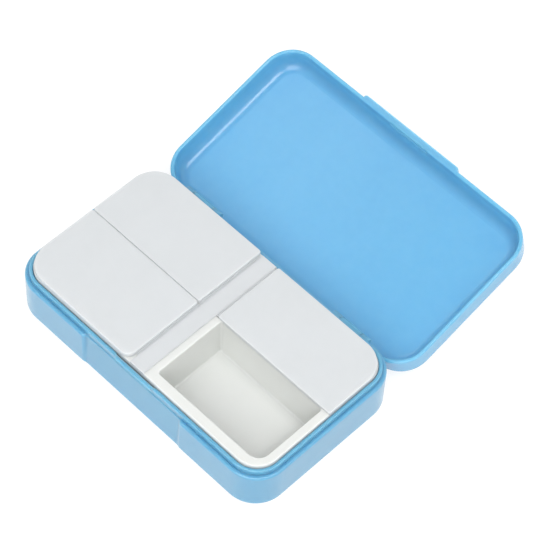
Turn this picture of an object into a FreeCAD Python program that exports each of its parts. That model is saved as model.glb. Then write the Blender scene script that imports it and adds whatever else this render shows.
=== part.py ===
import FreeCAD, Part
import math
import os

# Pocket pill splitter: a hinged case that holds a lift-out tray with three flapped wells and one open well.
# The flap over the back right well carries the blade. All lengths are in millimetres, all angles in degrees.
# Frame: the origin is the centre of the base's underside, +X runs along the long side towards the cutter,
# +Y runs towards the lid's hinge, +Z is up. The lid stands open against its stop and every flap is shut.

# Case
case_length = 85.0
case_width = 48.6
case_corner_r = 8.5
base_floor = 1.4
ledge_z = 11.95
ledge_width = 1.1
lip_z = 13.6
lip_thickness = 0.9
base_edge_r = 0.8
lip_edge_r = 0.25
small_edge_r = 0.2
ledge_edge_r = 0.6

# Thumb recess in the base's front wall, deepest at the top
recess_half = 17.2
recess_depth_top = 0.9
recess_depth_bottom = 0.2
recess_end_width = 1.6
recess_start = 0.02

# Snap catch on the front of the base's lip
catch_half = 6.0
catch_reach = 0.5
catch_z0 = 12.7
catch_z1 = lip_z
catch_hollow_depth = 0.4
catch_hollow_z = 10.5
catch_hollow_margin = 0.6
catch_edge_r = 0.3

# Lid, described shut
lid_gap = 0.1
lid_top_z = 19.0
lid_wall = 1.0
lid_roof = 1.2
lid_edge_r = 1.5
lid_inner_r = 3.2
lid_rim_outer_r = 0.45
lid_rim_inner_r = 0.4
tab_half = 16.0
tab_reach = 0.8
tab_height = 2.0
tab_corner_r = 0.7
groove_play = 0.15

# Lid hinge
hinge_y = case_width / 2 - 0.23
hinge_z = 10.22
lid_open_deg = 164.0
knuckle_x = 25.5
knuckle_r = 1.6
lid_knuckle_width = 6.6
base_knuckle_width = 2.4
knuckle_gap = 0.15
knuckle_root = 0.5
pin_r = 0.75
pin_play = 0.05
pin_chamfer = 0.15
hinge_notch_drop = 1.95

# Tray
tray_half_x = 40.36
tray_half_y = 22.15
tray_corner_r = 6.35
tray_bottom_z = base_floor + 0.05
tray_floor_z = 2.4
tray_rim_z = 14.52
left_rim_z = 14.25
cutter_rim_z = 13.75
channel_z = 13.8
tray_edge_r = 0.3
tray_foot_r = 1.1
well_draft = 1.5
well_floor_r = 0.6
well_corner_r = 3.4
well_inner_corner_r = 1.0
well_mouth_r = 0.3
well_outer_x = 38.15
well_outer_y = 19.45
left_well_x = -3.6
right_well_x = 4.4
left_seam_y = 1.0
left_wall_half = 0.7
open_well_back_y = 1.6
cutter_well_front_y = 3.0
quarter_play = 0.05
core_x0 = -2.2
core_x1 = 2.9
core_half_y = 20.0
core_top_z = 12.9

# Flaps
flap_half_x = 40.38
flap_half_y = 22.17
flap_corner_r = 7.2
flap_strip_corner_r = 2.4
flap_seam_corner_r = 0.6
flap_edge_x = 2.95
flap_seam_gap = 0.1
flap_edge_r = 0.25
left_flap_z0 = 14.3
left_flap_z1 = 15.62
cutter_flap_z0 = 13.8
cutter_flap_z1 = 15.0
rib_play = 0.22
rib_thickness = 0.8
rib_depth = 1.3
rib_inner_r = 0.2

# Hinge strip and the thin webs that join it to the flaps
strip_x0 = -2.4
strip_x1 = 2.4
strip_half_y = 22.1
strip_z = 14.55
strip_play = 0.02
strip_edge_r = 0.08
peg_r = 0.9
peg_play = 0.03
peg_z = 12.7
peg_spacing = 15.0
web_z = strip_z - 0.25
web_to_axis = 0.12
flap_axis_x = 2.75
web_end_gap = 0.15

# Cutter
blade_y = 11.4
blade_thickness = 0.5
blade_x0 = 9.0
blade_x1 = 29.0
blade_top_z = 13.65
blade_edge_z = 4.5
blade_bevel = 1.3
blade_edge_width = 0.06
blade_corner = 1.5
clamp_thickness = 1.5
clamp_x0 = 8.0
clamp_x1 = 31.0
clamp_bottom_z = 9.9
clamp_r = 1.0
rivet_x = (13.0, 25.5)
rivet_z = 11.75
rivet_r = 0.8
rivet_play = 0.03
rivet_head_r = 1.35
rivet_head = 0.5
rivet_head_edge_r = 0.35

# Tablet holder and its grip pad
holder_play = 0.4
holder_bottom_r = 0.9
holder_floor_z = 4.0
holder_top_z = 9.4
holder_wall = 1.2
holder_lift = 0.05
vee_apex_x = 8.0
vee_half_deg = 35.0
vee_corner = 4.0
slot_half = 0.6
slot_x0 = 6.6
slot_x1 = 32.5
slot_z = 2.95
pad_play = 0.12
pad_top_z = 4.9
pad_slot_half = 0.75

# Overshoot of cutting tools past the faces they cut, overlap between joined volumes,
# and the tolerance of the edge tests
over = 1.0
weld = 0.2
touch = 0.01


def vec(x, y, z):
    return FreeCAD.Vector(x, y, z)


def rounded_outline(x0, x1, y0, y1, radii, z):
    """Closed outline with radii for the front left, front right, back right and back left corners."""
    corners = ((x0, y0, 180), (x1, y0, 270), (x1, y1, 0), (x0, y1, 90))
    arcs = []
    for (cx, cy, start), r in zip(corners, radii):
        mid_x = cx + r if cx == x0 else cx - r
        mid_y = cy + r if cy == y0 else cy - r
        points = []
        for step in (0, 45, 90):
            a = math.radians(start + step)
            points.append(vec(mid_x + r * math.cos(a), mid_y + r * math.sin(a), z))
        arcs.append(points)
    edges = []
    for i, points in enumerate(arcs):
        edges.append(Part.Arc(points[0], points[1], points[2]).toShape())
        following = arcs[(i + 1) % 4][0]
        edges.append(Part.makeLine(points[2], following))
    return Part.Wire(edges)


def prism(x0, x1, y0, y1, radii, z0, z1):
    """Upright block with rounded corners."""
    outline = rounded_outline(x0, x1, y0, y1, radii, z0)
    return Part.Face(outline).extrude(vec(0, 0, z1 - z0))


def centred_prism(half_x, half_y, r, z0, z1):
    return prism(-half_x, half_x, -half_y, half_y, (r, r, r, r), z0, z1)


def block(x0, x1, y0, y1, z0, z1):
    return Part.makeBox(x1 - x0, y1 - y0, z1 - z0, vec(x0, y0, z0))


def polygon_prism(points, direction):
    """Solid swept from a closed polygon along a direction."""
    corners = [vec(*p) for p in points]
    return Part.Face(Part.makePolygon(corners + corners[:1])).extrude(vec(*direction))


def x_cylinder(r, x0, x1, y, z):
    return Part.makeCylinder(r, x1 - x0, vec(x0, y, z), vec(1, 0, 0))


def y_cylinder(r, y0, y1, x, z):
    return Part.makeCylinder(r, y1 - y0, vec(x, y0, z), vec(0, 1, 0))


def round_edges(shape, r, wanted):
    """Rounds the edges that pass the test wanted(edge)."""
    return shape.makeFillet(r, [e for e in shape.Edges if wanted(e)])


def level_edge(z):
    """Test for edges that lie flat at height z."""
    def wanted(edge):
        box = edge.BoundBox
        return abs(box.ZMin - z) < 1e-4 and abs(box.ZMax - z) < 1e-4
    return wanted


def well(x0, x1, y0, y1, radii, rim_z):
    """Hollow of one tray well: drafted walls and a rounded foot."""
    inset = (rim_z - tray_floor_z) * math.tan(math.radians(well_draft))
    foot_radii = [r - inset for r in radii]
    foot = rounded_outline(x0 + inset, x1 - inset, y0 + inset, y1 - inset, foot_radii, tray_floor_z)
    mouth = rounded_outline(x0, x1, y0, y1, radii, rim_z)
    above = prism(x0, x1, y0, y1, radii, rim_z, rim_z + over)
    cavity = Part.makeLoft([foot, mouth], True, True)
    cavity = round_edges(cavity, well_floor_r, level_edge(tray_floor_z))
    return cavity.fuse(above)


def base_shell():
    half_x = case_length / 2
    half_y = case_width / 2
    shell = centred_prism(half_x, half_y, case_corner_r, 0, ledge_z).cut(thumb_recess())
    shell = round_edges(shell, base_edge_r, level_edge(0))
    shell = round_edges(shell, ledge_edge_r, level_edge(ledge_z))
    lip = centred_prism(half_x - ledge_width, half_y - ledge_width, case_corner_r - ledge_width,
                        ledge_z - over, lip_z)
    wall = ledge_width + lip_thickness
    cavity = centred_prism(half_x - wall, half_y - wall, case_corner_r - wall, base_floor, lip_z + over)
    cavity = round_edges(cavity, base_edge_r, level_edge(base_floor))
    shell = round_edges(shell.fuse(lip).cut(cavity), lip_edge_r, level_edge(lip_z))
    shell = shell.fuse(catch()).cut(catch_hollow())
    for side in (-1, 1):
        shell = shell.cut(hinge_notch(side * knuckle_x)).fuse(base_knuckles(side * knuckle_x))
    for side in (-1, 1):
        reach = lid_knuckle_width / 2 + knuckle_gap + base_knuckle_width
        bore = x_cylinder(pin_r, side * knuckle_x - reach - over, side * knuckle_x + reach + over,
                          hinge_y, hinge_z)
        shell = shell.cut(bore)
    return shell.removeSplitter()


def ess_curve(x0, y0, width, depth, z):
    """Two equal arcs that move an outline inwards by depth over a signed width, as points for each arc."""
    w = abs(width)
    sign = math.copysign(1, width)
    r = (w * w + depth * depth) / (4 * depth)
    turn = math.asin(w / 2 / r)
    out = [(r * math.sin(a), r * (1 - math.cos(a))) for a in (0, turn / 2, turn)]
    back = [(w - dx, depth - dy) for dx, dy in reversed(out)]
    return [[vec(x0 + sign * dx, y0 + dy, z) for dx, dy in arc] for arc in (out, back)]


def recess_outline(z):
    """Plan of the thumb recess at height z, with soft ends."""
    depth = recess_depth_bottom + (recess_depth_top - recess_depth_bottom) * z / ledge_z
    start = -case_width / 2 - recess_start
    left = ess_curve(-recess_half, start, recess_end_width, depth + recess_start, z)
    right = ess_curve(recess_half, start, -recess_end_width, depth + recess_start, z)
    outside = [vec(recess_half, start - over, z), vec(-recess_half, start - over, z)]
    edges = [Part.Arc(*arc).toShape() for arc in left]
    edges.append(Part.makeLine(left[1][2], right[1][2]))
    edges.extend(Part.Arc(*reversed(arc)).toShape() for arc in reversed(right))
    edges.append(Part.makeLine(right[0][0], outside[0]))
    edges.append(Part.makeLine(outside[0], outside[1]))
    edges.append(Part.makeLine(outside[1], left[0][0]))
    return Part.Wire(edges)


def thumb_recess():
    """Shallow slanted hollow in the front wall, below the lid's tab."""
    return Part.makeLoft([recess_outline(-over), recess_outline(ledge_z + over)], True, True)


def catch():
    """Rounded bar that the lid's front wall snaps over."""
    lip_face = -case_width / 2 + ledge_width
    bar = block(-catch_half, catch_half, lip_face - catch_reach, lip_face + lip_thickness / 2,
                catch_z0, catch_z1)
    return round_edges(bar, catch_edge_r, lambda e: e.BoundBox.YMax < lip_face)


def catch_hollow():
    """Relief behind the catch, so that the lip keeps an even wall there."""
    inner_face = -case_width / 2 + ledge_width + lip_thickness
    half = catch_half + catch_hollow_margin
    relief = block(-half, half, inner_face - catch_hollow_depth, inner_face + over,
                   catch_hollow_z, lip_z + over)
    return round_edges(relief, catch_edge_r,
                       lambda e: e.BoundBox.YMax < inner_face and e.BoundBox.ZMax < lip_z)


def hinge_notch(x):
    """Room for one lid knuckle in the back wall, below the lip and open at the back."""
    half = lid_knuckle_width / 2 + knuckle_gap
    lip_face = case_width / 2 - ledge_width
    low = block(x - half, x + half, lip_face - lip_thickness - over, case_width / 2 + over,
                hinge_z - hinge_notch_drop, ledge_z)
    high = block(x - half, x + half, lip_face, case_width / 2 + over, ledge_z - over, lip_z + over)
    return low.fuse(high)


def base_knuckles(x):
    """The two fixed knuckles beside one lid knuckle."""
    inner = lid_knuckle_width / 2 + knuckle_gap
    outer = inner + base_knuckle_width
    left = x_cylinder(knuckle_r, x - outer, x - inner, hinge_y, hinge_z)
    right = x_cylinder(knuckle_r, x + inner, x + outer, hinge_y, hinge_z)
    behind_lip = block(x - outer - over, x + outer + over, case_width / 2 - ledge_width,
                       hinge_y + knuckle_r + over, 0, lip_z)
    return left.fuse(right).common(behind_lip)


def lid_shell():
    """Lid built shut, then swung open against its stop."""
    half_x = case_length / 2
    half_y = case_width / 2
    rim_z = ledge_z + lid_gap
    lid = centred_prism(half_x, half_y, case_corner_r, rim_z, lid_top_z)
    lid = round_edges(lid, lid_edge_r, level_edge(lid_top_z))
    lid = round_edges(lid, lid_rim_outer_r, level_edge(rim_z))
    hollow = centred_prism(half_x - lid_wall, half_y - lid_wall, case_corner_r - lid_wall,
                           rim_z - over, lid_top_z - lid_roof)
    hollow = round_edges(hollow, lid_inner_r, level_edge(lid_top_z - lid_roof))
    lid = lid.cut(hollow)
    lid = round_edges(lid, lid_rim_inner_r, inner_rim_edge)
    lid = lid.fuse(lid_tab(rim_z)).cut(catch_groove())
    for side in (-1, 1):
        lid = lid.fuse(lid_knuckle(side * knuckle_x, rim_z))
    for side in (-1, 1):
        half = lid_knuckle_width / 2 + over
        lid = lid.cut(x_cylinder(pin_r + pin_play, side * knuckle_x - half, side * knuckle_x + half,
                                 hinge_y, hinge_z))
    lid = lid.removeSplitter()
    lid.rotate(vec(0, hinge_y, hinge_z), vec(1, 0, 0), -lid_open_deg)
    return lid


def inner_rim_edge(edge):
    """Test for the inner edges of the lid's rim."""
    box = edge.BoundBox
    half_x = case_length / 2 - lid_wall + touch
    half_y = case_width / 2 - lid_wall + touch
    inside = box.XMax < half_x and box.XMin > -half_x and box.YMax < half_y and box.YMin > -half_y
    return inside and level_edge(ledge_z + lid_gap)(edge)


def lid_tab(rim_z):
    """Thumb tab along the lid's front edge."""
    front = -case_width / 2
    tab = block(-tab_half, tab_half, front - tab_reach, front + lid_wall / 2, rim_z, rim_z + tab_height)

    def outer_corner(edge):
        box = edge.BoundBox
        return box.YMax < front - tab_reach / 2 and box.ZLength > tab_height / 2
    tab = round_edges(tab, tab_corner_r, outer_corner)
    return round_edges(tab, small_edge_r, lambda e: e.BoundBox.ZMin > rim_z + tab_height / 2
                       and e.BoundBox.YMax < front + touch)


def catch_groove():
    """Groove inside the lid's front wall that the catch rests in."""
    lip_face = -case_width / 2 + ledge_width
    return block(-catch_half - groove_play, catch_half + groove_play,
                 lip_face - catch_reach - groove_play, lip_face + over,
                 catch_z0 - groove_play, catch_z1 + groove_play)


def lid_knuckle(x, rim_z):
    """Barrel and neck that hang below the lid's back edge."""
    half = lid_knuckle_width / 2
    barrel = x_cylinder(knuckle_r, x - half, x + half, hinge_y, hinge_z)
    neck = block(x - half, x + half, case_width / 2 - lid_wall, case_width / 2, hinge_z,
                 rim_z + knuckle_root)
    return barrel.fuse(neck)


def hinge_pin(side):
    """Steel pin through the two fixed knuckles and the lid's knuckle."""
    half = lid_knuckle_width / 2 + knuckle_gap + base_knuckle_width
    pin = x_cylinder(pin_r, side * knuckle_x - half, side * knuckle_x + half, hinge_y, hinge_z)
    return pin.makeChamfer(pin_chamfer, [e for e in pin.Edges if e.BoundBox.XLength < touch])


def insert_tray():
    tray = centred_prism(tray_half_x, tray_half_y, tray_corner_r, tray_bottom_z, tray_rim_z)
    tray = round_edges(tray, tray_foot_r, level_edge(tray_bottom_z))
    tray = round_edges(tray, tray_edge_r, level_edge(tray_rim_z))
    left_edge = strip_x0 - strip_play
    right_edge = strip_x1 + strip_play
    far = tray_half_x + over
    deep = tray_half_y + over
    tray = tray.cut(block(-far, left_edge, -deep, deep, left_rim_z, tray_rim_z + over))
    tray = tray.cut(block(left_edge, right_edge, -deep, deep, channel_z, tray_rim_z + over))
    tray = tray.cut(block(right_edge, far, open_well_back_y - quarter_play, deep,
                          cutter_rim_z, tray_rim_z + over))
    outer = well_corner_r
    inner = well_inner_corner_r
    left = (-well_outer_x, left_well_x)
    right = (right_well_x, well_outer_x)
    tray = tray.cut(well(*left, -well_outer_y, left_seam_y - left_wall_half,
                         (outer, inner, inner, inner), left_rim_z))
    tray = tray.cut(well(*left, left_seam_y + left_wall_half, well_outer_y,
                         (inner, inner, inner, outer), left_rim_z))
    tray = tray.cut(well(*right, -well_outer_y, open_well_back_y,
                         (inner, outer, inner, inner), tray_rim_z))
    tray = round_edges(tray, well_mouth_r, open_mouth_edge)
    tray = tray.cut(well(*right, cutter_well_front_y, well_outer_y,
                         (inner, inner, outer, inner), cutter_rim_z))
    tray = tray.cut(block(core_x0, core_x1, -core_half_y, core_half_y, 0, core_top_z))
    for i in (-1, 0, 1):
        hole = Part.makeCylinder(peg_r + peg_play, channel_z - core_top_z + 2 * over,
                                 vec(0, i * peg_spacing, core_top_z - over))
        tray = tray.cut(hole)
    return tray.removeSplitter()


def open_mouth_edge(edge):
    """Test for the rim edges round the mouth of the open well."""
    box = edge.BoundBox
    inside = box.XMin > strip_x1 + 1 and box.XMax < well_outer_x + touch and box.YMin > -well_outer_y - touch
    return inside and level_edge(tray_rim_z)(edge)


def hinge_strip():
    """Spine that carries the three flaps, pegged into the tray's middle wall."""
    strip = block(strip_x0, strip_x1, -strip_half_y, strip_half_y, channel_z, strip_z)
    strip = round_edges(strip, strip_edge_r, level_edge(strip_z))
    for i in (-1, 0, 1):
        peg = Part.makeCylinder(peg_r, channel_z - peg_z + weld, vec(0, i * peg_spacing, peg_z))
        strip = strip.fuse(peg)
    return strip.removeSplitter()


def left_web(y0, y1):
    """Bending web between the strip and one left flap."""
    return block(-flap_axis_x + web_to_axis, strip_x0, y0, y1, web_z, strip_z)


def cutter_web(y0, y1):
    """Bending web between the strip and the cutter flap."""
    return block(strip_x1, flap_axis_x - web_to_axis, y0, y1, web_z, strip_z)


def rib_frame(x0, x1, y0, y1, radii, top_z):
    """Locating rib under a flap, just inside its well."""
    outer = prism(x0 + rib_play, x1 - rib_play, y0 + rib_play, y1 - rib_play,
                  [r - rib_play for r in radii], top_z - rib_depth, top_z + weld)
    step = rib_play + rib_thickness
    inner = prism(x0 + step, x1 - step, y0 + step, y1 - step,
                  [max(r - step, rib_inner_r) for r in radii], top_z - rib_depth - over, top_z + over)
    return outer.cut(inner)


def left_flap(y0, y1, radii, rib):
    plate = prism(-flap_half_x, -flap_edge_x, y0, y1, radii, left_flap_z0, left_flap_z1)
    plate = round_edges(plate, flap_edge_r, level_edge(left_flap_z1))
    return plate.fuse(rib).removeSplitter()


def left_front_flap():
    seam = left_seam_y - flap_seam_gap / 2
    inner = well_inner_corner_r
    rib = rib_frame(-well_outer_x, left_well_x, -well_outer_y, left_seam_y - left_wall_half,
                    (well_corner_r, inner, inner, inner), left_flap_z0)
    radii = (flap_corner_r, flap_strip_corner_r, flap_seam_corner_r, flap_seam_corner_r)
    return left_flap(-flap_half_y, seam, radii, rib)


def left_back_flap():
    seam = left_seam_y + flap_seam_gap / 2
    inner = well_inner_corner_r
    rib = rib_frame(-well_outer_x, left_well_x, left_seam_y + left_wall_half, well_outer_y,
                    (inner, inner, inner, well_corner_r), left_flap_z0)
    radii = (flap_seam_corner_r, flap_seam_corner_r, flap_seam_corner_r, flap_corner_r)
    return left_flap(seam, flap_half_y, radii, rib)


def cutter_flap():
    """Flap over the cutter well, with the rib that backs the blade."""
    radii = (flap_seam_corner_r, flap_seam_corner_r, flap_corner_r, flap_seam_corner_r)
    plate = prism(flap_edge_x, flap_half_x, open_well_back_y, flap_half_y, radii,
                  cutter_flap_z0, cutter_flap_z1)
    plate = round_edges(plate, flap_edge_r, level_edge(cutter_flap_z1))
    inner = well_inner_corner_r
    rib = rib_frame(right_well_x, well_outer_x, cutter_well_front_y, well_outer_y,
                    (inner, inner, well_corner_r, inner), cutter_flap_z0)
    side = blade_y + blade_thickness / 2
    backing = clamp_plate(side, side + clamp_thickness, cutter_flap_z0 + weld)
    flap = plate.fuse(rib).fuse(backing)
    return flap.cut(rivet_holes()).removeSplitter()


def clamp_plate(y0, y1, top_z):
    """Upright plate beside the blade with rounded lower corners."""
    plate = block(clamp_x0, clamp_x1, y0, y1, clamp_bottom_z, top_z)
    return round_edges(plate, clamp_r, lambda e: e.BoundBox.YLength > clamp_thickness / 2
                       and e.BoundBox.ZMax < clamp_bottom_z + touch and e.BoundBox.XLength < touch)


def rivet_holes():
    reach = blade_thickness + clamp_thickness + over
    radius = rivet_r + rivet_play
    holes = [y_cylinder(radius, blade_y - reach, blade_y + reach, x, rivet_z) for x in rivet_x]
    return Part.makeCompound(holes)


def blade():
    """Flat blade with a double bevel along its lower edge."""
    half = blade_thickness / 2
    edge = blade_edge_width / 2
    profile = (
        (blade_x0, blade_y - half, blade_top_z),
        (blade_x0, blade_y - half, blade_edge_z + blade_bevel),
        (blade_x0, blade_y - edge, blade_edge_z),
        (blade_x0, blade_y + edge, blade_edge_z),
        (blade_x0, blade_y + half, blade_edge_z + blade_bevel),
        (blade_x0, blade_y + half, blade_top_z),
    )
    strip = polygon_prism(profile, (blade_x1 - blade_x0, 0, 0))
    for x, side in ((blade_x0, 1), (blade_x1, -1)):
        corner = (
            (x - side * over, blade_y - over, blade_top_z + over),
            (x + side * (blade_corner + over), blade_y - over, blade_top_z + over),
            (x - side * over, blade_y - over, blade_top_z - blade_corner - over),
        )
        strip = strip.cut(polygon_prism(corner, (0, 2 * over, 0)))
    return strip.cut(rivet_holes())


def blade_clamp():
    side = blade_y - blade_thickness / 2
    return clamp_plate(side - clamp_thickness, side, blade_top_z).cut(rivet_holes())


def blade_rivets():
    """Two rivets through the flap's rib, the blade and the clamp."""
    reach = blade_thickness / 2 + clamp_thickness
    rivets = []
    for x in rivet_x:
        shank = y_cylinder(rivet_r, blade_y - reach - weld, blade_y + reach + weld, x, rivet_z)
        low = y_cylinder(rivet_head_r, blade_y - reach - rivet_head, blade_y - reach, x, rivet_z)
        high = y_cylinder(rivet_head_r, blade_y + reach, blade_y + reach + rivet_head, x, rivet_z)
        low = round_edges(low, rivet_head_edge_r, lambda e: e.BoundBox.YMax < blade_y - reach - weld)
        high = round_edges(high, rivet_head_edge_r, lambda e: e.BoundBox.YMin > blade_y + reach + weld)
        rivets.append(shank.fuse(low).fuse(high).removeSplitter())
    return Part.makeCompound(rivets)


def vee_area(play, z0, z1):
    """Tablet area of the holder: a V that widens from its apex into a straight bay."""
    half = (well_outer_y - cutter_well_front_y) / 2 - holder_play - holder_wall - play
    mid = (well_outer_y + cutter_well_front_y) / 2
    apex = vee_apex_x + play / math.sin(math.radians(vee_half_deg))
    shoulder = apex + half / math.tan(math.radians(vee_half_deg))
    end = well_outer_x - holder_play - holder_wall - play
    cut = vee_corner
    outline = ((apex, mid, z0), (shoulder, mid - half, z0), (end - cut, mid - half, z0),
               (end, mid - half + cut, z0), (end, mid + half - cut, z0), (end - cut, mid + half, z0),
               (shoulder, mid + half, z0))
    return polygon_prism(outline, (0, 0, z1 - z0))


def tablet_holder():
    """V-shaped holder in the cutter well, with a slot that the blade drops into."""
    inner = well_inner_corner_r
    play = holder_play
    bottom_z = tray_floor_z + holder_lift
    body = prism(right_well_x + play, well_outer_x - play, cutter_well_front_y + play, well_outer_y - play,
                 (inner, inner, well_corner_r - play, inner), bottom_z, holder_top_z)
    body = round_edges(body, holder_bottom_r, level_edge(bottom_z))
    body = body.cut(vee_area(0, holder_floor_z, holder_top_z + over))
    slot = block(slot_x0, slot_x1, blade_y - slot_half, blade_y + slot_half, slot_z, holder_top_z + over)
    return body.cut(slot).removeSplitter()


def grip_pad():
    """Soft pad under the tablet, slit for the blade."""
    pad = vee_area(pad_play, holder_floor_z, pad_top_z)
    slit = block(0, slot_x1 + slot_half, blade_y - pad_slot_half, blade_y + pad_slot_half,
                 0, pad_top_z + over)
    return pad.cut(slit)


def main():
    os.makedirs("parts", exist_ok=True)
    seam_low = left_seam_y - flap_seam_gap / 2
    seam_high = left_seam_y + flap_seam_gap / 2
    end_gap = flap_seam_corner_r + web_end_gap
    front_end = -flap_half_y + flap_strip_corner_r + web_end_gap
    back_end = flap_half_y - end_gap
    pieces = {
        "base_shell": base_shell(),
        "lid_shell": lid_shell(),
        "hinge_pin_left": hinge_pin(-1),
        "hinge_pin_right": hinge_pin(1),
        "insert_tray": insert_tray(),
        "hinge_strip": hinge_strip(),
        "left_front_web": left_web(front_end, seam_low - web_end_gap),
        "left_back_web": left_web(seam_high + web_end_gap, back_end),
        "cutter_web": cutter_web(open_well_back_y + web_end_gap, back_end),
        "left_front_flap": left_front_flap(),
        "left_back_flap": left_back_flap(),
        "cutter_flap": cutter_flap(),
        "blade": blade(),
        "blade_clamp": blade_clamp(),
        "blade_rivets": blade_rivets(),
        "tablet_holder": tablet_holder(),
        "grip_pad": grip_pad(),
    }
    for name, shape in pieces.items():
        shape.exportStep("parts/" + name + ".step")


main()
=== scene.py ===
import math

import bmesh
import bpy
from mathutils import Matrix, Vector


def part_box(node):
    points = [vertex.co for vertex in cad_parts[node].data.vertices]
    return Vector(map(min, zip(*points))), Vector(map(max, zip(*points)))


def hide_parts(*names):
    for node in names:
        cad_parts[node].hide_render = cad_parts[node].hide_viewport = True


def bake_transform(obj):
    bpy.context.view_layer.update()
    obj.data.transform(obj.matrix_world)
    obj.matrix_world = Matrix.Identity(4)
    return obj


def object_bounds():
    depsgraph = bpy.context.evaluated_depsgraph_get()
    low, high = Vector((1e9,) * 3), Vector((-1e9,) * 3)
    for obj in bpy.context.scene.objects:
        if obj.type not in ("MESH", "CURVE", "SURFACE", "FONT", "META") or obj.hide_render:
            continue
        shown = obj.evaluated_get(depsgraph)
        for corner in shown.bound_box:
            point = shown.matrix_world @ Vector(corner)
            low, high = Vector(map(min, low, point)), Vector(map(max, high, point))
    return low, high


# Looks of the pill splitter: moulded plastics, steel and a soft pad on the CAD frame, on a pale studio
# floor. Lengths are in metres, colours are linear.
MM = 0.001

# Camera: a long lens, turned, tilted and slightly rolled. Angles are in degrees.
CAMERA_AZIMUTH = 41.8
CAMERA_ELEVATION = 55.8
CAMERA_ROLL = 4.0
CAMERA_DISTANCE = 0.6126
CAMERA_LENS = 160.8
CAMERA_SENSOR = 36.0
CAMERA_NEAR = 0.01
LOOK_AT_OFFSET = Vector((-2.82, 3.37, -11.0)) * MM

# Shades of each plastic: its body, its flow marks and its paler edges, which are rubbed wear and a painted
# highlight
# The base's blue is a darker copy of the lid's blue: painted shade on the base.
DARKENED_CASE_SHADES = ((0.112, 0.346, 0.532), (0.104, 0.334, 0.518), (0.190, 0.420, 0.590))
LID_SHADES = ((0.134, 0.394, 0.600), (0.124, 0.380, 0.584), (0.220, 0.480, 0.670))
FLAP_SHADES = ((0.606, 0.626, 0.638), (0.588, 0.608, 0.617), (0.670, 0.685, 0.692))
TRAY_SHADES = ((0.690, 0.702, 0.682), (0.672, 0.683, 0.660), (0.735, 0.745, 0.728))
STEEL = (0.56, 0.57, 0.58)
PAD_GREY = (0.47, 0.49, 0.50)

# How far light travels inside each material, for red, green and blue
CLEAR_REACH = (3.5 * MM, 3.5 * MM, 3.5 * MM)
MILKY_REACH = (2.4 * MM, 2.3 * MM, 2.2 * MM)
PAD_REACH = (1.2 * MM, 1.2 * MM, 1.2 * MM)

# Moulded plastic: the sizes of its marks, the depths of its bumps and how much they tint it
FLOW_SIZE = 26 * MM
MOTTLE_SIZE = 2.4 * MM
MOTTLE_TINT = 0.12
SKIN_SIZE = 0.9 * MM
SKIN_DEPTH = 0.0012 * MM
GRAIN_DEPTH = 0.0007 * MM
WORN_HIGHLIT_EDGE = 0.35 * MM
PLASTIC_IOR = 1.49
COAT_ROUGHNESS_SHARE = 0.6

# Ground steel. The rivets' lines are turned by a quarter turn, in radians.
GRIND_STRETCH = 90.0
GRIND_DEPTH = 0.004 * MM
STAIN_SIZE = 5 * MM
STAIN_TINT = 0.35
PIT_SIZE = 0.25 * MM
PIT_DEPTH = 0.001 * MM
POLISHED_EDGE = 0.15 * MM
QUARTER_TURN = 1.57

# Silicone pad
DIMPLE_SIZE = 0.5 * MM
DIMPLE_DEPTH = 0.02 * MM
DUST_SIZE = 1.5 * MM
SILICONE_IOR = 1.41

# Bending webs: how far they reach into their neighbours, their thinnest share, the mesh's steps, the share of
# their thickness at both ends, the length that bends and the angle above which an edge stays sharp
WEB_OVERLAP = 0.06 * MM
WEB_WAIST = 0.55
WEB_ACROSS = 20
WEB_STEP = 0.5 * MM
WEB_END = 0.75
WEB_SHARP = math.radians(40)

# Studio: a floor with a glow of its own, a sky that is brighter above and behind, and soft square lights.
# A light has its place from the object's middle, its side and its power in watts.
FLOOR_SIZE = 3.0
FLOOR_PALE = (0.24, 0.24, 0.24)
FLOOR_GREY = (0.22, 0.22, 0.22)
FLOOR_GLOW = 0.80
FLOOR_TOOTH = 1.2 * MM
FLOOR_TOOTH_DEPTH = 0.004 * MM
SKY_COLOUR = (0.985, 0.99, 1.0, 1.0)
SKY_LOW = 0.46
SKY_HIGH = 0.66
SKY_BEHIND = 0.6
LIGHTS = {
    "key": (Vector((0.28, -0.64, 0.66)), 0.7, 5.6),
    "streak": (Vector((0.26, 0.02, 0.6)), 0.26, 1.3),
    "sheen": (Vector((-0.265, 0.02, 0.561)), 0.12, 0.06),
}

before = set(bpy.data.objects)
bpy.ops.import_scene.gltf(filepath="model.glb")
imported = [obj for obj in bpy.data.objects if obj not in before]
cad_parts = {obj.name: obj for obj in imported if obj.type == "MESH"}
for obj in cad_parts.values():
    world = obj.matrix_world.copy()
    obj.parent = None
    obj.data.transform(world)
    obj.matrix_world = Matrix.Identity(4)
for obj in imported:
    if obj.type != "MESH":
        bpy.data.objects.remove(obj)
cad_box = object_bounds()


# ---- node helpers ----

def add(tree, kind, inputs=None, **settings):
    """New shader node. Inputs may be plain values or the output sockets of other nodes."""
    node = tree.nodes.new("ShaderNode" + kind)
    for name, value in settings.items():
        setattr(node, name, value)
    connect(tree, node, inputs or {})
    return node


def connect(tree, node, inputs):
    """Sets the node's inputs to plain values or to the output sockets of other nodes."""
    for name, value in inputs.items():
        if isinstance(value, bpy.types.NodeSocket):
            tree.links.new(value, node.inputs[name])
        else:
            node.inputs[name].default_value = value


def calc(tree, operation, a, b):
    return add(tree, "Math", {0: a, 1: b}, operation=operation).outputs[0]


def remap(tree, value, low, high, to_low=0.0, to_high=1.0):
    """Value from low..high to to_low..to_high, clamped."""
    inputs = {"Value": value, "From Min": low, "From Max": high, "To Min": to_low, "To Max": to_high}
    return add(tree, "MapRange", inputs).outputs["Result"]


def mix(tree, factor, a, b):
    """Colour a turned into colour b by factor. Colours are triples or sockets."""
    a, b = (c if isinstance(c, bpy.types.NodeSocket) else (*c, 1.0) for c in (a, b))
    return add(tree, "Mix", {0: factor, 6: a, 7: b}, data_type="RGBA").outputs[2]


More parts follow.
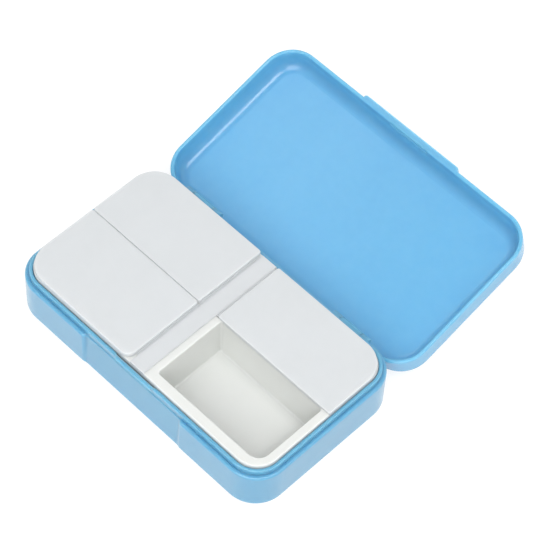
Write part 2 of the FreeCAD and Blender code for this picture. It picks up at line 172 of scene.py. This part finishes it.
def noise(tree, place, size, detail=2.0, distortion=0.0, stretch=(1.0, 1.0, 1.0), turn=0.0):
    """Noise with features of about the given size, stretched along each axis and turned about +Z."""
    scale = tuple(1.0 / (size * s) for s in stretch)
    mapped = add(tree, "Mapping", {"Vector": place, "Rotation": (0.0, 0.0, turn), "Scale": scale})
    inputs = {"Vector": mapped.outputs["Vector"], "Scale": 1.0, "Detail": detail, "Distortion": distortion}
    return add(tree, "TexNoise", inputs).outputs["Fac"]


def bump(tree, height, depth, normal=None):
    """Bumps whose height runs over the given depth, on top of another bump's normal."""
    inputs = {"Height": height, "Distance": depth, "Strength": 1.0}
    if normal is not None:
        inputs["Normal"] = normal
    return add(tree, "Bump", inputs).outputs["Normal"]


def edge_mask(tree, width):
    """1 along edges that stand proud or sink in, 0 on flat faces."""
    bevel = add(tree, "Bevel", {"Radius": width}, samples=6)
    geometry = add(tree, "NewGeometry")
    dot = add(tree, "VectorMath", {0: bevel.outputs["Normal"], 1: geometry.outputs["Normal"]},
              operation="DOT_PRODUCT")
    return remap(tree, dot.outputs["Value"], 0.99, 0.86)


def new_surface(name):
    """Empty material with its output, a Principled shader and the object's own coordinates."""
    material = bpy.data.materials.new(name)
    material.use_nodes = True
    tree = material.node_tree
    tree.nodes.clear()
    output = add(tree, "OutputMaterial")
    shader = add(tree, "BsdfPrincipled")
    tree.links.new(shader.outputs["BSDF"], output.inputs["Surface"])
    place = add(tree, "TexCoord").outputs["Object"]
    return material, tree, shader, place


# ---- materials ----

def moulded_plastic(name, shades, gloss, grain, reach, soft, coat=0.0):
    """Injection-moulded polypropylene: soft flow marks, a faint mottle, a fine skin and paler edges of rubbed
    wear and painted highlight.
    """
    body, flow_shade, rubbed_highlit = shades
    material, tree, shader, place = new_surface(name)
    flow = noise(tree, place, FLOW_SIZE, detail=3.0, distortion=0.8, stretch=(1.0, 1.6, 1.0))
    mottle = noise(tree, place, MOTTLE_SIZE, detail=3.0)
    skin = noise(tree, place, SKIN_SIZE)
    fine = noise(tree, place, grain)
    edge = edge_mask(tree, WORN_HIGHLIT_EDGE)

    colour = mix(tree, remap(tree, flow, 0.3, 0.7), body, flow_shade)
    tint = calc(tree, "MULTIPLY", remap(tree, mottle, 0.35, 0.8), MOTTLE_TINT)
    colour = mix(tree, tint, colour, rubbed_highlit)
    # Paler edges: partly rubbed wear, partly a painted highlight along the rounded edges.
    wear_and_highlight = calc(tree, "MULTIPLY", edge, remap(tree, mottle, 0.3, 0.6, 0.2, 0.5))
    colour = mix(tree, wear_and_highlight, colour, rubbed_highlit)

    rough = remap(tree, mottle, 0.3, 0.7, gloss - 0.03, gloss + 0.04)
    rough = calc(tree, "ADD", rough, remap(tree, flow, 0.35, 0.7, 0.0, 0.04))

    normal = bump(tree, skin, SKIN_DEPTH)
    normal = bump(tree, fine, GRAIN_DEPTH, normal)
    connect(tree, shader, {
        "Base Color": colour,
        "Roughness": rough,
        "Normal": normal,
        "IOR": PLASTIC_IOR,
        "Subsurface Weight": soft,
        "Subsurface Radius": reach,
        "Subsurface Scale": 1.0,
        "Coat Weight": coat,
        "Coat Roughness": gloss * COAT_ROUGHNESS_SHARE,
    })
    return material


def brushed_steel(name, grind, gloss, turn=0.0):
    """Ground stainless steel: grinding lines, a faint stain, small pits and polished edges."""
    material, tree, shader, place = new_surface(name)
    lines = noise(tree, place, grind, detail=3.0, stretch=(GRIND_STRETCH, 1.0, 1.0), turn=turn)
    stain = noise(tree, place, STAIN_SIZE, detail=3.0, distortion=0.5)
    pits = noise(tree, place, PIT_SIZE, detail=1.0)
    edge = edge_mask(tree, POLISHED_EDGE)
    dark = tuple(0.72 * c for c in STEEL)
    bright = tuple(1.3 * c for c in STEEL)

    colour = mix(tree, remap(tree, lines, 0.3, 0.7), dark, STEEL)
    colour = mix(tree, calc(tree, "MULTIPLY", remap(tree, stain, 0.5, 0.75), STAIN_TINT), colour, dark)
    colour = mix(tree, edge, colour, bright)

    rough = remap(tree, lines, 0.3, 0.7, gloss - 0.06, gloss + 0.1)
    rough = calc(tree, "ADD", rough, remap(tree, pits, 0.6, 0.75, 0.0, 0.12))

    normal = bump(tree, lines, GRIND_DEPTH)
    normal = bump(tree, pits, PIT_DEPTH, normal)
    connect(tree, shader, {
        "Base Color": colour,
        "Metallic": 1.0,
        "Roughness": rough,
        "Anisotropic": 0.5,
        "Normal": normal,
    })
    return material


def soft_silicone(name):
    """Cast silicone pad: milky, with a dusty skin and fine dimples."""
    material, tree, shader, place = new_surface(name)
    cells = add(tree, "TexVoronoi", {"Vector": place, "Scale": 1.0 / DIMPLE_SIZE})
    dimples = remap(tree, cells.outputs["Distance"], 0.0, 0.6)
    dust = noise(tree, place, DUST_SIZE, detail=4.0)
    pale = tuple(1.25 * c for c in PAD_GREY)
    connect(tree, shader, {
        "Base Color": mix(tree, remap(tree, dust, 0.4, 0.75), PAD_GREY, pale),
        "Roughness": remap(tree, dust, 0.3, 0.7, 0.5, 0.68),
        "Normal": bump(tree, dimples, DIMPLE_DEPTH),
        "IOR": SILICONE_IOR,
        "Subsurface Weight": 0.4,
        "Subsurface Radius": PAD_REACH,
        "Subsurface Scale": 1.0,
        "Sheen Weight": 0.1,
    })
    return material


def floor_paint():
    """Matt studio table with a glow of its own and the faintest tooth."""
    material, tree, shader, place = new_surface("studio_floor")
    tooth = noise(tree, place, FLOOR_TOOTH)
    connect(tree, shader, {
        "Base Color": mix(tree, calc(tree, "MULTIPLY", tooth, 0.05), FLOOR_PALE, FLOOR_GREY),
        "Emission Color": (1.0, 1.0, 1.0, 1.0),
        "Emission Strength": FLOOR_GLOW,
        "Roughness": remap(tree, tooth, 0.3, 0.7, 0.75, 0.85),
        "Normal": bump(tree, tooth, FLOOR_TOOTH_DEPTH),
    })
    material.cycles.emission_sampling = "NONE"
    return material


def finish(material, *names):
    """Gives the named CAD nodes their material."""
    for name in names:
        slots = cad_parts[name].data.materials
        slots.clear()
        slots.append(material)


def finish_case():
    """The lid is the glossier one underneath, and the base has the stronger clear coat and a darker blue,
    which is painted shade.
    """
    base_plastic = moulded_plastic("blue_case", DARKENED_CASE_SHADES, 0.31, 0.22 * MM, CLEAR_REACH, 1.0, coat=0.65)
    lid_plastic = moulded_plastic("blue_lid", LID_SHADES, 0.19, 0.3 * MM, CLEAR_REACH, 1.0, coat=0.2)
    finish(base_plastic, "base_shell")
    finish(lid_plastic, "lid_shell")


def finish_tray(flap_plastic):
    finish(moulded_plastic("white_tray", TRAY_SHADES, 0.34, 0.2 * MM, MILKY_REACH, 0.5), "insert_tray")
    finish(moulded_plastic("white_holder", TRAY_SHADES, 0.36, 0.2 * MM, MILKY_REACH, 0.5), "tablet_holder")
    finish(flap_plastic, "hinge_strip", "left_front_flap", "left_back_flap", "cutter_flap", "blade_clamp")
    finish(soft_silicone("silicone_pad"), "grip_pad")


def finish_metal():
    finish(brushed_steel("ground_blade", 0.05 * MM, 0.34), "blade")
    finish(brushed_steel("drawn_pin", 0.08 * MM, 0.36), "hinge_pin_left", "hinge_pin_right")
    finish(brushed_steel("set_rivet", 0.06 * MM, 0.35, QUARTER_TURN), "blade_rivets")


# ---- bending webs ----

def web_mesh(name, low, high, start_x, end_x):
    """Closed strip from start_x to end_x over the node's depth. Its upper face dips to a waist."""
    rows = max(2, round((high.y - low.y) / WEB_STEP))
    mid_z = (low.z + high.z) / 2
    half_z = (high.z - low.z) / 2
    mesh = bmesh.new()
    rings = []
    for j in range(rows + 1):
        y = low.y + (high.y - low.y) * j / rows
        thick = half_z * (WEB_END if j in (0, rows) else 1.0)
        upper, lower = [], []
        for i in range(WEB_ACROSS + 1):
            t = i / WEB_ACROSS
            x = start_x + (end_x - start_x) * t
            waist = 1 - (1 - WEB_WAIST) * math.sin(math.pi * t) ** 2
            upper.append(mesh.verts.new((x, y, mid_z + thick * waist)))
            lower.append(mesh.verts.new((x, y, mid_z - thick)))
        rings.append(upper + lower[::-1])
    for a, b in zip(rings, rings[1:]):
        for i in range(len(a)):
            k = (i + 1) % len(a)
            mesh.faces.new((a[i], a[k], b[k], b[i]))
    mesh.faces.new(rings[0][::-1])
    mesh.faces.new(rings[-1])
    bmesh.ops.recalc_face_normals(mesh, faces=mesh.faces)
    data = bpy.data.meshes.new(name)
    mesh.to_mesh(data)
    mesh.free()
    data.shade_smooth()
    data.set_sharp_from_angle(angle=WEB_SHARP)
    return data


def bending_web(name, node, flap, side, material):
    """Thin web from the strip to one flap, beside the flap's edge. Side is -1 left, 1 right."""
    low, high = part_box(node)
    flap_low, flap_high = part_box(flap)
    strip_x = high.x if side < 0 else low.x
    flap_x = flap_high.x if side < 0 else flap_low.x
    data = web_mesh(name, low, high, strip_x - side * WEB_OVERLAP, flap_x + side * WEB_OVERLAP)
    data.materials.append(material)
    web = bpy.data.objects.new(name, data)
    bpy.context.scene.collection.objects.link(web)
    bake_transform(web)
    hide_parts(node)


# ---- stage ----

def area_light(name, place, target, side, power):
    data = bpy.data.lights.new(name, "AREA")
    data.shape = "SQUARE"
    data.size = side
    data.energy = power
    light = bpy.data.objects.new(name, data)
    light.location = place
    light.rotation_mode = "QUATERNION"
    light.rotation_quaternion = (target - place).to_track_quat("-Z", "Y")
    bpy.context.scene.collection.objects.link(light)


def build_floor():
    bpy.ops.mesh.primitive_grid_add(x_subdivisions=2, y_subdivisions=2, size=FLOOR_SIZE)
    floor = bpy.context.object
    floor.name = "floor"
    floor.data.materials.append(floor_paint())


def build_sky():
    """Pale sky, brighter towards the top and low behind the lid."""
    world = bpy.data.worlds.new("studio")
    bpy.context.scene.world = world
    world.use_nodes = True
    tree = world.node_tree
    tree.nodes.clear()
    output = add(tree, "OutputWorld")
    place = add(tree, "TexCoord").outputs["Generated"]
    direction = add(tree, "SeparateXYZ", {"Vector": place}).outputs
    sky = remap(tree, direction["Z"], 0.0, 0.8, SKY_LOW, SKY_HIGH)
    backwards = remap(tree, direction["Y"], 0.2, 0.8)
    low_down = remap(tree, direction["Z"], 0.7, 0.3)
    behind = calc(tree, "MULTIPLY", calc(tree, "MULTIPLY", backwards, low_down), SKY_BEHIND)
    strength = calc(tree, "ADD", sky, behind)
    background = add(tree, "Background", {"Color": SKY_COLOUR, "Strength": strength})
    tree.links.new(background.outputs["Background"], output.inputs["Surface"])


def build_camera(middle):
    azimuth = math.radians(CAMERA_AZIMUTH)
    elevation = math.radians(CAMERA_ELEVATION)
    back = Vector((math.sin(azimuth) * math.cos(elevation), -math.cos(azimuth) * math.cos(elevation),
                   math.sin(elevation)))
    data = bpy.data.cameras.new("camera")
    data.lens = CAMERA_LENS
    data.sensor_width = CAMERA_SENSOR
    data.clip_start = CAMERA_NEAR
    camera = bpy.data.objects.new("camera", data)
    camera.location = middle + LOOK_AT_OFFSET + back * CAMERA_DISTANCE
    camera.rotation_mode = "QUATERNION"
    level = (-back).to_track_quat("-Z", "Y")
    roll = Matrix.Rotation(math.radians(CAMERA_ROLL), 3, "Z").to_quaternion()
    camera.rotation_quaternion = level @ roll
    bpy.context.scene.collection.objects.link(camera)
    bpy.context.scene.camera = camera


flap_plastic = moulded_plastic("white_flap", FLAP_SHADES, 0.4, 0.16 * MM, MILKY_REACH, 0.5)
finish_case()
finish_tray(flap_plastic)
finish_metal()
bending_web("left_front_bend", "left_front_web", "left_front_flap", -1, flap_plastic)
bending_web("left_back_bend", "left_back_web", "left_back_flap", -1, flap_plastic)
bending_web("cutter_bend", "cutter_web", "cutter_flap", 1, flap_plastic)

middle = (cad_box[0] + cad_box[1]) / 2
build_floor()
build_sky()
for light_name, (offset, side, power) in LIGHTS.items():
    area_light(light_name, middle + offset, middle, side, power)
build_camera(middle)
bpy.context.scene.view_settings.view_transform = "Standard"
